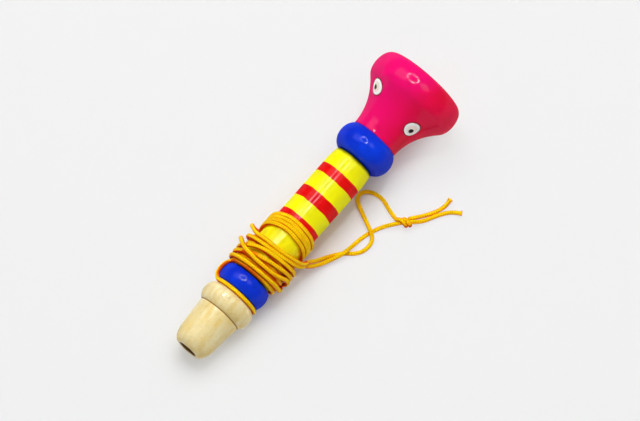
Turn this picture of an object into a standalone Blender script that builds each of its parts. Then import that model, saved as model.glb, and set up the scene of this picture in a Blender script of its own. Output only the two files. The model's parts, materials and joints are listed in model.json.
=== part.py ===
"""Wooden toy trumpet, lying on its collar and bell with its neck cord wound round the barrel.

The wooden pieces are turned: each is a closed profile of radius against station, spun about the axis.
Stations run from 0 at the mouthpiece's end face to LENGTH at the bell's rim. In the trumpet's own frame
the axis is Z, and X points to the floor when the trumpet lies down. Everything is in metres.
"""

import math

import bmesh
import bpy
import numpy as np
from mathutils import Matrix, Vector

MM = 0.001
FACETS = 40
SHARP_ANGLE = math.radians(40)
GAP = 0.3 * MM

# Stations along the axis
COLLAR_START = 22.3 * MM
COLLAR_END = 31.9 * MM
LOWER_RING_START = 34.6 * MM
LOWER_RING_END = 43.6 * MM
BARREL_START = LOWER_RING_END + GAP
BARREL_END = 117.0 * MM
UPPER_RING_END = 131.0 * MM
BELL_START = UPPER_RING_END + GAP
LENGTH = 167.0 * MM

# Mouthpiece
FACE_R = 5.6 * MM
TIP_ROUND = 8.5 * MM
TIP_R = 9.9 * MM
TIP_BASE_R = 10.9 * MM
QUIRK_DEPTH = 0.4 * MM
QUIRK_WIDTH = 0.5 * MM
COLLAR_R = 13.4 * MM
COLLAR_WIDEST = 27.4 * MM
COLLAR_HALF_LENGTH = 6.4 * MM
COLLAR_CROWN = 6.0 * MM
GROOVE_R = 10.5 * MM
SPIGOT_R = 5.7 * MM
SPIGOT_END = 50.0 * MM
BLOW_HOLE_R = 4.6 * MM
BLOW_HOLE_EDGE = 0.6 * MM
CHAMBER_END = 30.0 * MM
SEAT_R = 3.5 * MM

# Barrel and the two rings on its tenons
BARREL_R = 10.7 * MM
BARREL_END_R = 9.4 * MM
BARREL_TAPER = 8.0 * MM
TENON_R = 7.7 * MM
TENON_END = 138.0 * MM
RING_BORE_R = TENON_R + GAP
SPIGOT_BORE_R = SPIGOT_R + GAP
AIR_BORE_R = 5.0 * MM
LOWER_RING_R = 12.7 * MM
LOWER_RING_HALF_LENGTH = 7.2 * MM
LOWER_RING_CROWN = 5.5 * MM
UPPER_RING_R = 14.6 * MM
UPPER_RING_WIDEST = 124.6 * MM
UPPER_RING_HALF_LENGTH = 7.4 * MM
UPPER_RING_CROWN = 5.8 * MM

# Bell
BELL_NECK_R = 11.9 * MM
BELL_R = 23.55 * MM
LIP_WIDEST = 159.6 * MM
LIP_CROWN = 4.0 * MM
LIP_JOIN = 153.2 * MM
MOUTH_R = 16.8 * MM
MOUTH_EDGE = 1.2 * MM
THROAT_R = 5.6 * MM
THROAT_END = 139.5 * MM
RIM_R = (MOUTH_R + MOUTH_EDGE + BELL_R - LIP_CROWN) / 2
NECK_PULL = Vector((0.3, 8.0)) * MM
LIP_PULL = Vector((-7.0, -7.5)) * MM
MOUTH_PULL = Vector((-1.2, -9.8)) * MM
THROAT_PULL = Vector((1.6, 11.5)) * MM

# Reed unit in the mouthpiece
SLEEVE_R = SEAT_R - GAP
SLEEVE_BORE_R = 2.7 * MM
SLEEVE_START = CHAMBER_END + GAP
SLEEVE_END = 44.0 * MM
BOARD_R = SLEEVE_BORE_R - GAP
BOARD_START = 14.0 * MM
BOARD_END = 46.0 * MM
BOARD_FACE = 0.15 * MM
BOARD_TIP_FACE = 1.0 * MM
SLOT_WIDTH = 2.0 * MM
SLOT_FLOOR = 1.75 * MM
SLOT_START = 16.0 * MM
TONGUE_WIDTH = 3.2 * MM
TONGUE_THICKNESS = 0.3 * MM
TONGUE_TIP = 14.6 * MM
TONGUE_ROOT = 35.0 * MM
REED_HINGE = 33.0 * MM
REED_LINE = -0.3 * MM
WEDGE_FACE = REED_LINE - TONGUE_THICKNESS / 2 - GAP
WEDGE_END = 42.0 * MM

# Neck cord
CORD_D = 1.6 * MM
CORD_SEAT = 0.35 * MM
TURN_PITCH = CORD_D + 0.52 * MM
LAYER_STEP = CORD_D + 0.5 * MM
LOOP_POINTS = 24
LEAST_STEPS = 3
INNER_R = BARREL_R + CORD_SEAT + CORD_D / 2
OUTER_R = INNER_R + LAYER_STEP
OVER_RING_R = LOWER_RING_R + CORD_SEAT + CORD_D / 2
SHOULDER_R = OVER_RING_R - 0.5 * MM
GROOVE_CORD_R = GROOVE_R + 2 * CORD_SEAT + CORD_D / 2
GROOVE_CORD = (COLLAR_END + LOWER_RING_START) / 2
FIRST_TURN = 67.5 * MM
BOW_STEPS = 8
FREE_STEP = 2.0 * CORD_D
ROUTE_SAMPLES = 40
KNOT_R = CORD_D + 0.4 * MM
KNOT_PITCH = LAYER_STEP
KNOT_TURNS = 1.5
KNOT_START = math.radians(90)
KNOT_CENTRE = Vector((114.4, -33.6, 3.5)) * MM
KNOT_AXIS = Vector((0.735, -0.678, 0.0)).normalized()

# How far each inner turn bows towards the bell on its upper side, in millimetres
BOWS = [9.6, 8.9, 8.3, 1.7, 1.6, 1.6, 1.6, 0.4, 0.2, 0.0, 0.0]

# Places on the cord's outer layer: turns round the axis, station and height over the layer, in millimetres.
# Turns count from the floor side towards +Y: a quarter is +Y, a half is the top, three quarters is -Y.
COMING_IN = [
    (0.75, 65.6, 0.0),
    (0.52, 62.2, 0.0),
    (0.27, 63.0, 1.3),
    (0.14, 67.5, 0.0),
    (0.06, 68.0, -0.7),
]
GOING_OUT = [
    (0.25, 48.0, 0.0),
    (0.50, 49.8, 0.0),
    (0.75, 52.8, 0.0),
    (1.00, 54.4, 0.0),
    (1.25, 55.6, 1.2),
    (1.35, 53.4, 2.4),
    (1.44, 49.4, 2.3),
    (1.52, 46.6, 1.8),
    (1.62, 45.4, 0.3),
    (1.75, 45.6, 0.0),
    (2.00, 50.4, 0.0),
    (2.25, 52.6, 0.0),
    (2.50, 56.4, 0.0),
    (2.75, 59.2, 0.0),
    (3.00, 59.6, 0.0),
    (3.25, 58.8, 0.0),
    (3.50, 59.4, 0.0),
    (3.75, 63.0, 0.0),
]

# Points on the free cord, in millimetres, measured from the mouthpiece's end face along the floor
STRAND_A = [
    (67.5, -14.0, 12.0),
    (70.5, -14.4, 7.5),
    (74.5, -15.4, 3.6),
    (78.5, -17.2, 1.5),
    (82.4, -19.6, 1.0),
    (85.3, -22.2, 1.0),
    (87.6, -25.0, 1.0),
    (90.8, -27.2, 1.0),
    (94.3, -27.8, 1.3),
    (97.5, -26.6, 2.3),
    (100.1, -23.4, 3.2),
    (103.1, -17.5, 2.2),
    (105.6, -11.8, 1.2),
    (108.2, -9.0, 1.0),
    (111.2, -8.6, 1.0),
    (113.9, -10.8, 1.0),
    (115.6, -14.8, 1.0),
    (115.5, -18.8, 1.0),
    (114.6, -23.4, 1.8),
    (114.0, -28.0, 3.9),
]
STRAND_B = [
    (65.2, -14.6, 11.5),
    (69.2, -16.2, 6.4),
    (73.3, -17.6, 3.2),
    (77.4, -19.2, 2.3),
    (81.6, -21.2, 3.0),
    (85.4, -22.0, 3.2),
    (89.8, -22.3, 2.0),
    (95.4, -22.8, 1.0),
    (100.1, -24.0, 1.0),
    (105.7, -26.4, 1.1),
    (110.2, -29.8, 2.3),
    (114.4, -33.6, 3.5),
    (118.4, -37.2, 2.3),
    (122.3, -40.3, 1.0),
    (126.8, -43.0, 1.0),
    (130.6, -45.6, 1.0),
    (133.8, -49.3, 1.0),
]
TAIL_A = [
    (120.0, -35.9, 1.0),
    (123.6, -38.5, 1.0),
    (127.6, -40.8, 1.0),
    (132.0, -42.1, 1.0),
    (137.1, -41.6, 1.0),
]


def clear_scene():
    for obj in list(bpy.data.objects):
        bpy.data.objects.remove(obj, do_unlink=True)


def finish_material(name, colour, roughness, metallic=0.0):
    material = bpy.data.materials.new(name)
    material.use_nodes = True
    shader = material.node_tree.nodes["Principled BSDF"]
    shader.inputs["Base Color"].default_value = (*colour, 1.0)
    shader.inputs["Roughness"].default_value = roughness
    shader.inputs["Metallic"].default_value = metallic
    return material


def add_object(name, data, material, parent=None):
    obj = bpy.data.objects.new(name, data)
    bpy.context.scene.collection.objects.link(obj)
    data.materials.append(material)
    obj.parent = parent
    return obj


def crown(radius, widest, half_length, height, station):
    """Radius at a station on a rounded bead: an ellipse of this height standing on the bead's waist."""
    across = (station - widest) / half_length
    return radius - height * (1 - math.sqrt(max(0.0, 1 - across * across)))


def crown_points(radius, widest, half_length, height, start, end, steps):
    """Points of a bead's rounded outside, spaced evenly round its ellipse."""
    first = math.asin(max(-1.0, (start - widest) / half_length))
    last = math.asin(min(1.0, (end - widest) / half_length))
    angles = np.linspace(first, last, steps + 1)
    stations = widest + half_length * np.sin(angles)
    return [(crown(radius, widest, half_length, height, s), s) for s in stations]


def quarter(centre, size, start, steps=4):
    """A quarter of an ellipse in a profile, turning left from the start angle in degrees."""
    angles = np.radians(np.linspace(start, start + 90, steps + 1))
    return [(centre[0] + size[0] * math.cos(a), centre[1] + size[1] * math.sin(a)) for a in angles]


def bezier(first, first_pull, last_pull, last, steps):
    """Points on one cubic curve, both ends included. The pulls are its handles, measured from the ends."""
    corners = np.array([first, Vector(first) + first_pull, Vector(last) + last_pull, last])
    points = []
    for t in np.linspace(0, 1, steps + 1):
        weights = ((1 - t) ** 3, 3 * t * (1 - t) ** 2, 3 * t * t * (1 - t), t**3)
        points.append(tuple(np.array(weights) @ corners))
    return points


def mouthpiece_profile():
    tip = quarter((FACE_R, TIP_ROUND), (TIP_R - FACE_R, TIP_ROUND), -90, steps=6)
    collar_form = (COLLAR_R, COLLAR_WIDEST, COLLAR_HALF_LENGTH, COLLAR_CROWN)
    collar = crown_points(*collar_form, COLLAR_START, COLLAR_END, 8)
    edge_centre = (BLOW_HOLE_R + BLOW_HOLE_EDGE, BLOW_HOLE_EDGE)
    blow_edge = quarter(edge_centre, (BLOW_HOLE_EDGE, BLOW_HOLE_EDGE), 180, steps=2)
    neck_end = LOWER_RING_START - GAP
    profile = list(tip)
    profile += [(TIP_BASE_R, COLLAR_START - QUIRK_WIDTH), (TIP_BASE_R - QUIRK_DEPTH, COLLAR_START)]
    profile += collar
    profile += [(GROOVE_R, COLLAR_END), (GROOVE_R, neck_end), (SPIGOT_R, neck_end), (SPIGOT_R, SPIGOT_END)]
    profile += [(SEAT_R, SPIGOT_END), (SEAT_R, CHAMBER_END), (BLOW_HOLE_R, CHAMBER_END)]
    profile += blow_edge
    return profile


def barrel_profile():
    waist = BARREL_R - BARREL_END_R
    lower = quarter((BARREL_END_R, BARREL_START + BARREL_TAPER), (waist, BARREL_TAPER), -90)
    upper = quarter((BARREL_END_R, BARREL_END - BARREL_TAPER), (waist, BARREL_TAPER), 0)
    tenon_start = LOWER_RING_START
    step = SPIGOT_END + GAP
    profile = [(SPIGOT_BORE_R, tenon_start), (TENON_R, tenon_start), (TENON_R, BARREL_START)]
    profile += lower + upper
    profile += [(TENON_R, BARREL_END), (TENON_R, TENON_END), (AIR_BORE_R, TENON_END)]
    profile += [(AIR_BORE_R, step), (SPIGOT_BORE_R, step)]
    return profile


def ring_profile(radius, widest, half_length, height, start, end):
    outside = crown_points(radius, widest, half_length, height, start, end, 12)
    return [(RING_BORE_R, start)] + outside + [(RING_BORE_R, end)]


def lower_ring_profile():
    middle = (LOWER_RING_START + LOWER_RING_END) / 2
    return ring_profile(
        LOWER_RING_R, middle, LOWER_RING_HALF_LENGTH, LOWER_RING_CROWN, LOWER_RING_START, LOWER_RING_END
    )


def upper_ring_profile():
    start = BARREL_END + GAP
    return ring_profile(
        UPPER_RING_R, UPPER_RING_WIDEST, UPPER_RING_HALF_LENGTH, UPPER_RING_CROWN, start, UPPER_RING_END
    )


def bell_profile():
    lip_half = LENGTH - LIP_WIDEST
    join_r = crown(BELL_R, LIP_WIDEST, lip_half, LIP_CROWN, LIP_JOIN)
    flare = bezier((BELL_NECK_R, BELL_START), NECK_PULL, LIP_PULL, (join_r, LIP_JOIN), 9)
    lip = crown_points(BELL_R, LIP_WIDEST, lip_half, LIP_CROWN, LIP_JOIN, LENGTH, 8)
    mouth_edge = quarter((MOUTH_R + MOUTH_EDGE, LENGTH - MOUTH_EDGE), (MOUTH_EDGE, MOUTH_EDGE), 90, steps=3)
    hollow = bezier((MOUTH_R, LENGTH - MOUTH_EDGE), MOUTH_PULL, THROAT_PULL, (THROAT_R, THROAT_END), 9)
    socket_end = TENON_END + GAP
    socket = [(THROAT_R, socket_end), (RING_BORE_R, socket_end), (RING_BORE_R, BELL_START)]
    return flare + lip[1:] + mouth_edge + hollow[1:] + socket


def turned(name, profile, material, parent):
    """Spins a closed profile about the axis, with the middle of a facet towards the floor."""
    mesh = bpy.data.meshes.new(name)
    bm = bmesh.new()
    verts = [bm.verts.new((radius, 0.0, station)) for radius, station in profile]
    edges = [bm.edges.new((verts[i - 1], verts[i])) for i in range(len(verts))]
    bmesh.ops.spin(
        bm,
        geom=verts + edges,
        cent=(0, 0, 0),
        axis=(0, 0, 1),
        angle=2 * math.pi,
        steps=FACETS,
        use_merge=True,
    )
    bmesh.ops.rotate(bm, verts=bm.verts, cent=(0, 0, 0), matrix=Matrix.Rotation(math.pi / FACETS, 3, "Z"))
    bmesh.ops.recalc_face_normals(bm, faces=bm.faces)
    bm.to_mesh(mesh)
    bm.free()
    mesh.shade_smooth()
    mesh.set_sharp_from_angle(angle=SHARP_ANGLE)
    return add_object(name, mesh, material, parent)


def lying_pose(profiles):
    """Tilt and height at which the turned pieces touch the floor with the collar and with the bell."""
    flat = math.cos(math.pi / FACETS)
    points = [(radius * flat, station) for profile in profiles for radius, station in profile]
    neck = max((p for p in points if p[1] < BARREL_START), key=lambda p: p[0])
    bell = max((p for p in points if p[1] > BELL_START), key=lambda p: p[0])
    for _ in range(4):
        tilt = math.atan2(bell[0] - neck[0], bell[1] - neck[1])
        depth = [(r * math.cos(tilt) - s * math.sin(tilt), r, s) for r, s in points]
        neck = max(d for d in depth if d[2] < BARREL_START)[1:]
        bell = max(d for d in depth if d[2] > BELL_START)[1:]
    height = max(d[0] for d in depth)
    reach = [s * math.cos(tilt) + side * r * math.sin(tilt) for r, s in points for side in (-1, 1)]
    middle = (min(reach) + max(reach)) / 2
    return tilt, height, middle


def half_moon(flat, radius, steps):
    """Outline in X and Y of a round bar cut by a flat across it at this X, on the bar's floor side."""
    reach = math.acos(flat / radius)
    angles = np.linspace(-reach, reach, steps + 1)
    return [(radius * math.cos(a), radius * math.sin(a)) for a in angles]


def extruded(name, outline, start, end, material, parent):
    """A bar of this outline in X and Y, from one station to another."""
    mesh = bpy.data.meshes.new(name)
    bm = bmesh.new()
    face = bm.faces.new([bm.verts.new((x, y, start)) for x, y in outline])
    grown = bmesh.ops.extrude_face_region(bm, geom=[face])
    raised = [v for v in grown["geom"] if isinstance(v, bmesh.types.BMVert)]
    bmesh.ops.translate(bm, verts=raised, vec=(0, 0, end - start))
    bmesh.ops.recalc_face_normals(bm, faces=bm.faces)
    bm.to_mesh(mesh)
    bm.free()
    return add_object(name, mesh, material, parent)


def cut(target, cutter):
    cutter.hide_render = True
    cutter.display_type = "WIRE"
    boolean = target.modifiers.new("cut by " + cutter.name, "BOOLEAN")
    boolean.operation = "DIFFERENCE"
    boolean.object = cutter


def box_outline(low_x, high_x, width):
    return [(low_x, -width / 2), (high_x, -width / 2), (high_x, width / 2), (low_x, width / 2)]


def tone_board(material, parent):
    """Half-round trough with an air slot. Its face falls away from the tongue towards the tip."""
    outline = half_moon(BOARD_FACE, BOARD_R, 14)
    board = extruded("tone_board", outline, BOARD_START, BOARD_END, material, parent)
    slot_outline = box_outline(-BOARD_R, SLOT_FLOOR, SLOT_WIDTH)
    slot = extruded("slot_cutter", slot_outline, SLOT_START, BOARD_END + BOARD_R, material, parent)
    facing_outline = box_outline(-2 * BOARD_R, 0.0, 3 * BOARD_R)
    facing_length = REED_HINGE - BOARD_START
    facing = extruded("facing_cutter", facing_outline, -1.2 * facing_length, 0.0, material, parent)
    facing.location = (BOARD_FACE, 0, REED_HINGE)
    facing.rotation_euler = (0, -math.atan2(BOARD_TIP_FACE - BOARD_FACE, facing_length), 0)
    cut(board, slot)
    cut(board, facing)
    return board


def reed_tongue(material, parent):
    """Brass strip with a round tip, its origin on the hinge line at its clamped root."""
    pivot = bpy.data.objects.new("reed_hinge", None)
    bpy.context.scene.collection.objects.link(pivot)
    pivot.parent = parent
    pivot.location = (REED_LINE, 0, REED_HINGE)
    half = TONGUE_WIDTH / 2
    tip_centre = TONGUE_TIP + half - REED_HINGE
    root = TONGUE_ROOT - REED_HINGE
    round_tip = [(half * math.cos(a), tip_centre + half * math.sin(a)) for a in np.linspace(0, -math.pi, 11)]
    outline = [(half, root)] + round_tip + [(-half, root)]
    mesh = bpy.data.meshes.new("reed_tongue")
    bm = bmesh.new()
    face = bm.faces.new([bm.verts.new((-TONGUE_THICKNESS / 2, y, z)) for y, z in outline])
    grown = bmesh.ops.extrude_face_region(bm, geom=[face])
    raised = [v for v in grown["geom"] if isinstance(v, bmesh.types.BMVert)]
    bmesh.ops.translate(bm, verts=raised, vec=(TONGUE_THICKNESS, 0, 0))
    bmesh.ops.recalc_face_normals(bm, faces=bm.faces)
    bm.to_mesh(mesh)
    bm.free()
    return add_object("reed_tongue", mesh, material, pivot)


def reed_wedge(material, parent):
    outline = [(-x, y) for x, y in half_moon(-WEDGE_FACE, BOARD_R, 12)]
    return extruded("reed_wedge", outline, REED_HINGE, WEDGE_END, material, parent)


def reed_sleeve(material, parent):
    outside = [(SLEEVE_R, SLEEVE_START), (SLEEVE_R, SLEEVE_END)]
    bore = [(SLEEVE_BORE_R, SLEEVE_END), (SLEEVE_BORE_R, SLEEVE_START)]
    return turned("reed_sleeve", outside + bore, material, parent)


def winding_keys():
    """Places on the wound cord: turns round the axis, station and radius.

    The cord comes in from free strand A, winds towards the neck on the barrel, lies in the neck groove,
    and winds back over itself to free strand B.
    """
    last_top = 0.5 - len(BOWS)
    keys = outer_keys(COMING_IN, 0) + inner_keys()
    return keys + crossing_keys(last_top) + outer_keys(GOING_OUT, math.ceil(last_top))


def outer_keys(places, first_turn):
    return [(first_turn + turn, station * MM, OUTER_R + height * MM) for turn, station, height in places]


def inner_keys():
    """Turns side by side on the barrel's floor side, each bowed towards the bell on its upper side."""
    keys = []
    for i in range(1, BOW_STEPS * len(BOWS) - BOW_STEPS // 2):
        turn = i / BOW_STEPS
        bow = BOWS[int(turn)] * MM * (1 - math.cos(2 * math.pi * turn)) / 2
        keys.append((-turn, FIRST_TURN - turn * TURN_PITCH + bow, INNER_R))
    return keys


def crossing_keys(top):
    """Over the lower ring, once round the neck groove, and back over the ring on the hidden side."""
    ring_middle = (LOWER_RING_START + LOWER_RING_END) / 2
    ring_neck_side = LOWER_RING_START + CORD_D / 2
    groove_lift_r = GROOVE_CORD_R + CORD_SEAT
    return [
        (top - 0.24, LOWER_RING_END - CORD_SEAT, SHOULDER_R),
        (top - 0.26, ring_middle, OVER_RING_R),
        (top - 0.29, ring_neck_side, SHOULDER_R),
        (top - 0.29, GROOVE_CORD + CORD_SEAT, groove_lift_r),
        (top - 0.23, GROOVE_CORD, GROOVE_CORD_R),
        (top + 0.50, GROOVE_CORD, GROOVE_CORD_R),
        (top + 0.585, GROOVE_CORD, GROOVE_CORD_R),
        (top + 0.625, GROOVE_CORD + CORD_SEAT, groove_lift_r),
        (top + 0.640, ring_neck_side, SHOULDER_R),
        (top + 0.650, ring_middle, OVER_RING_R),
        (top + 0.670, LOWER_RING_END, OVER_RING_R),
    ]


def monotone_slopes(knots, values):
    """Slopes at the knots of a smooth curve that never swings past a value that it is given."""
    rises = np.diff(values) / np.diff(knots)
    slopes = np.zeros(len(values))
    slopes[0], slopes[-1] = rises[0], rises[-1]
    for i in range(1, len(values) - 1):
        if rises[i - 1] * rises[i] > 0:
            slopes[i] = min(rises[i - 1], rises[i], key=abs)
    return slopes


def winding_points(keys, finer=1):
    """Points along the wound cord in the trumpet's frame, with each end straight for one diameter."""
    rows = np.array(keys)
    unrolled = rows * np.array([2 * math.pi * OUTER_R, 1.0, 1.0])
    knots = np.concatenate([[0.0], np.cumsum(np.linalg.norm(np.diff(unrolled, axis=0), axis=1))])
    slopes = np.array([monotone_slopes(knots, rows[:, i]) for i in range(3)]).T
    places = [rows[0]]
    for i in range(len(keys) - 1):
        span = knots[i + 1] - knots[i]
        turned_by = abs(rows[i + 1, 0] - rows[i, 0])
        steps = finer * max(LEAST_STEPS, round(LOOP_POINTS * turned_by))
        for t in np.arange(1, steps + 1) / steps:
            start = (1 + 2 * t) * (1 - t) ** 2 * rows[i] + t * (1 - t) ** 2 * span * slopes[i]
            end = t * t * (3 - 2 * t) * rows[i + 1] + t * t * (t - 1) * span * slopes[i + 1]
            places.append(start + end)
    points = []
    for turn, station, radius in places:
        angle = 2 * math.pi * turn
        points.append(Vector((radius * math.cos(angle), radius * math.sin(angle), station)))
    lead = (points[0] - points[1]).normalized() * CORD_D
    tail = (points[-1] - points[-2]).normalized() * CORD_D
    return [points[0] + lead] + points + [points[-1] + tail]


def least_gap(points):
    """Smallest clear distance between two stretches of one cord, measured on points along it."""
    places = np.array(points)
    steps = np.linalg.norm(np.diff(places, axis=0), axis=1)
    along = np.concatenate([[0.0], np.cumsum(steps)])
    apart = np.linalg.norm(places[:, None] - places[None], axis=2)
    apart[np.abs(along[:, None] - along[None]) < 4 * CORD_D] = 1.0
    return apart.min() - CORD_D


def smooth_route(points, step):
    """Evenly spaced points on a smooth curve through these, both ends included."""
    places = np.array(points)
    padded = np.vstack([2 * places[0] - places[1], places, 2 * places[-1] - places[-2]])
    dense = []
    for a, b, c, d in zip(padded, padded[1:], padded[2:], padded[3:]):
        for t in np.linspace(0, 1, ROUTE_SAMPLES, endpoint=False):
            bend = 2 * b + (c - a) * t + (2 * a - 5 * b + 4 * c - d) * t**2 + (3 * b - a - 3 * c + d) * t**3
            dense.append(bend / 2)
    dense = np.array(dense + [places[-1]])
    along = np.concatenate([[0.0], np.cumsum(np.linalg.norm(np.diff(dense, axis=0), axis=1))])
    even = np.linspace(0, along[-1], max(2, round(along[-1] / step)) + 1)
    return [Vector([np.interp(e, along, dense[:, i]) for i in range(3)]) for e in even]


def cord_tube(name, points, material, parent=None, resolution=2):
    curve = bpy.data.curves.new(name, "CURVE")
    curve.dimensions = "3D"
    curve.bevel_depth = CORD_D / 2
    curve.bevel_resolution = resolution
    curve.use_fill_caps = True
    spline = curve.splines.new("POLY")
    spline.points.add(len(points) - 1)
    for place, point in zip(spline.points, points):
        place.co = (*point, 1.0)
    return add_object(name, curve, material, parent)


def knot_points():
    """Strand A's turns round strand B, from over it to under it."""
    across = Vector((-KNOT_AXIS.y, KNOT_AXIS.x, 0.0))
    up = Vector((0, 0, 1))
    count = round(KNOT_TURNS * LOOP_POINTS)
    points = []
    for i in range(count + 1):
        angle = KNOT_START + 2 * math.pi * KNOT_TURNS * i / count
        ahead = KNOT_AXIS * KNOT_PITCH * KNOT_TURNS * (i / count - 0.5)
        points.append(KNOT_CENTRE + ahead + KNOT_R * (across * math.cos(angle) + up * math.sin(angle)))
    lead = (points[0] - points[1]).normalized() * CORD_D
    tail = (points[-1] - points[-2]).normalized() * CORD_D
    return [points[0] + lead] + points + [points[-1] + tail]


def past_end(points):
    """The place a gap beyond a tube's last point, and a second place further on in the same line."""
    ahead = (points[-1] - points[-2]).normalized()
    return [points[-1] + ahead * GAP, points[-1] + ahead * (GAP + CORD_D)]


def free_cords(winding, to_world, shift, material):
    """The two strands along the floor, the knot and the tails."""
    on_floor = Vector((shift, 0, 0))
    wound = [to_world @ point for point in winding]
    knot = [point + on_floor for point in knot_points()]
    routes = [[Vector(place) * MM + on_floor for place in row] for row in (STRAND_A, STRAND_B, TAIL_A)]
    route_a, route_b, tail = routes
    start_a, lead_a = past_end(wound[::-1])
    start_b, lead_b = past_end(wound)
    end_a, into_knot = past_end(knot[::-1])
    start_tail, lead_tail = past_end(knot)
    strand_a = [start_a] + smooth_route([lead_a] + route_a + [into_knot], FREE_STEP) + [end_a]
    strand_b = [start_b] + smooth_route([lead_b] + route_b, FREE_STEP)
    tail_a = [start_tail] + smooth_route([lead_tail] + tail, FREE_STEP)
    cord_tube("cord_strand_a", strand_a, material)
    cord_tube("cord_strand_b", strand_b, material)
    cord_tube("cord_knot", knot, material, resolution=1)
    cord_tube("cord_tail_a", tail_a, material)
    rows = (wound, strand_a, strand_b, knot, tail_a)
    return sum((b - a).length for row in rows for a, b in zip(row, row[1:]))


def main():
    clear_scene()
    wood = finish_material("lacquered_wood", (0.79, 0.68, 0.42), 0.35)
    blue = finish_material("blue_gloss", (0.01, 0.06, 0.55), 0.15)
    yellow = finish_material("yellow_gloss", (0.90, 0.86, 0.01), 0.15)
    magenta = finish_material("magenta_gloss", (0.78, 0.01, 0.20), 0.15)
    cord = finish_material("braided_cord", (0.95, 0.45, 0.01), 0.75)
    brass = finish_material("reed_brass", (0.80, 0.58, 0.20), 0.30, metallic=1.0)
    ivory = finish_material("reed_plastic", (0.80, 0.78, 0.70), 0.40)

    profiles = {
        "mouthpiece": (mouthpiece_profile(), wood),
        "lower_ring": (lower_ring_profile(), blue),
        "barrel": (barrel_profile(), yellow),
        "upper_ring": (upper_ring_profile(), blue),
        "bell": (bell_profile(), magenta),
    }
    tilt, height, middle = lying_pose([profile for profile, _ in profiles.values()])
    axis = bpy.data.objects.new("trumpet_axis", None)
    bpy.context.scene.collection.objects.link(axis)
    axis.location = (-middle, 0, height)
    axis.rotation_euler = (0, math.pi / 2 - tilt, 0)
    to_world = Matrix.Translation(axis.location) @ axis.rotation_euler.to_matrix().to_4x4()
    for name, (profile, material) in profiles.items():
        turned(name, profile, material, axis)

    reed_sleeve(ivory, axis)
    tone_board(ivory, axis)
    reed_tongue(brass, axis)
    reed_wedge(ivory, axis)

    keys = winding_keys()
    winding = winding_points(keys)
    cord_tube("cord_winding", winding, cord, axis, resolution=1)
    length = free_cords(winding, to_world, -middle, cord)
    print(f"tilt {math.degrees(tilt):.3f} degrees, axis start {-middle / MM:.3f}, {height / MM:.3f} mm")
    print(f"winding: least gap to itself {least_gap(winding_points(keys, finer=4)) / MM:.2f} mm")
    print(f"knot: least gap to itself {least_gap(knot_points()) / MM:.2f} mm")
    print(f"cord: {length / MM:.0f} mm in all")
    print("reed hinge at", tuple(round(v, 5) for v in to_world @ Vector((REED_LINE, 0, REED_HINGE))))
    print("bell rim at", tuple(round(v, 5) for v in to_world @ Vector((-RIM_R, 0, LENGTH))))


main()
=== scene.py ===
# %% [markdown]
# A turned wooden toy trumpet
#
# The toy is five turned pieces on one axis: a lacquered mouthpiece, a small blue ring, a yellow barrel with
# red stripes, a large blue ring and a magenta bell with two painted eyes. A neck cord is wound round the
# barrel, and a brass reed hides in the mouthpiece. The solids of all these pieces are loaded first. They fix
# every size and place, and this script gives them their surfaces. All lengths are in metres.

# %% Load the solids
import json
import math

import bmesh
import bpy
import numpy as np
from mathutils import Matrix, Vector
from mathutils.kdtree import KDTree

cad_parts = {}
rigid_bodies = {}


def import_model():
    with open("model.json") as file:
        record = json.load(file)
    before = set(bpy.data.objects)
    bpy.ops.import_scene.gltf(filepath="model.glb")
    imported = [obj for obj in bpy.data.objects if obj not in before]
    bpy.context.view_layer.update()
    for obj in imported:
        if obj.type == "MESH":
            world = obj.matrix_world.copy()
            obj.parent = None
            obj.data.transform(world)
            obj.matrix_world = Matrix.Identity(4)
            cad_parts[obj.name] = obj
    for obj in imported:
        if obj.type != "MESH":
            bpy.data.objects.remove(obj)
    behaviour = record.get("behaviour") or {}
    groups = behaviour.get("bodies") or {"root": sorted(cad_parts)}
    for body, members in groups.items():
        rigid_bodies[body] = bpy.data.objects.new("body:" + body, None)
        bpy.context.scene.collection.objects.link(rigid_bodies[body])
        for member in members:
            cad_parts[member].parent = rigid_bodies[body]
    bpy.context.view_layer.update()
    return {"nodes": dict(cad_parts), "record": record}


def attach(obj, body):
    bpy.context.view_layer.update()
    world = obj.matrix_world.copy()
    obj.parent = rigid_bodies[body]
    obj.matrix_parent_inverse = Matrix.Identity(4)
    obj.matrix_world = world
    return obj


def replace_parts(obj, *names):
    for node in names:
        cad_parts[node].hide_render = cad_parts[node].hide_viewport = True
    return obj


for leftover in list(bpy.data.objects):
    bpy.data.objects.remove(leftover, do_unlink=True)
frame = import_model()
MM = 0.001
print("solids:", ", ".join(sorted(frame["nodes"])))

# %% [markdown]
# Where the axis lies
#
# The trumpet lies on its collar and on its bell, so its axis climbs a little. The flat rim of the bell is in
# the record, with its place and the way it faces, and the whole axis can be worked out from it. In the
# trumpet's own frame the axis is Z, stations run from 0 at the mouthpiece's end to LENGTH at the rim, and X
# points to the floor.

# %% The trumpet's own frame
LENGTH = 167.0 * MM
RIM_R = 18.775 * MM
rim = next(mount for mount in frame["record"]["mounts"] if mount["name"] == "bell_rim")
TILT = math.atan2(rim["axis"][2], rim["axis"][0])
lying = Matrix.Rotation(math.pi / 2 - TILT, 4, "Y")
axis_start = Vector(rim["pos_m"]) - lying @ Vector((-RIM_R, 0.0, LENGTH))
to_world = Matrix.Translation(axis_start) @ lying
from_world = to_world.inverted()
print(f"the axis climbs {math.degrees(TILT):.2f} degrees from {[round(v / MM, 2) for v in axis_start]} mm")

# %% [markdown]
# The camera
#
# The photograph looks steeply down on the toy from a long way off, so its lines hardly converge. A long lens
# far away gives the same flat view. The camera is aimed at the point of the floor in the middle of the
# picture, and the lens follows from how wide a strip of floor the picture shows.

# %% Camera
VIEW_TARGET = Vector((9.77, 0.79, 0.0)) * MM
VIEW_WIDTH = 295.6 * MM
VIEW_DISTANCE = 5.0
VIEW_HEADING = math.radians(41.0)
VIEW_ELEVATION = math.radians(71.16)


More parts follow.
